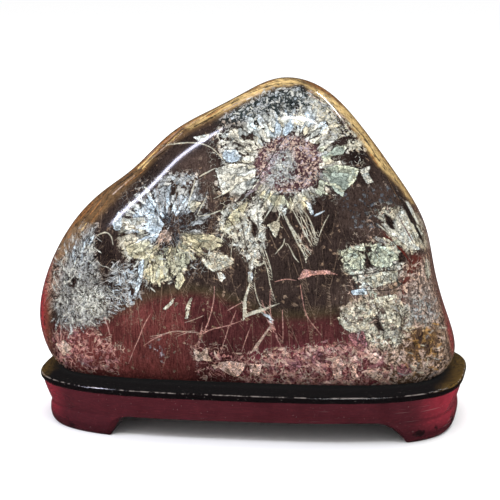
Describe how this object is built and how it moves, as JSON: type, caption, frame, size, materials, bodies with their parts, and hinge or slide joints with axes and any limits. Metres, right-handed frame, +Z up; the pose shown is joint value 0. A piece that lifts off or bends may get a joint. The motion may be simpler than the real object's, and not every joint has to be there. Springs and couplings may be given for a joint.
{
  "type": "suiseki on a stand",
  "caption": "Polished flower-patterned viewing stone resting in the fitted seat of a low lacquered wooden stand with bracket feet.",
  "frame": {"origin": "on the surface that the stand rests on, under the middle of the whole", "axes": "+X along the stand to the viewer's right, +Y to the back, +Z up"},
  "size_m": [0.324, 0.1752, 0.254],
  "materials": {
    "stone": "polished, pale flower-like clusters in a dark maroon-brown matrix",
    "stand": "gloss lacquer, black top and dark red-brown sides"
  },
  "bodies": {
    "root": {"stone": "stone", "stand": "stand"}
  },
  "joints": []
}
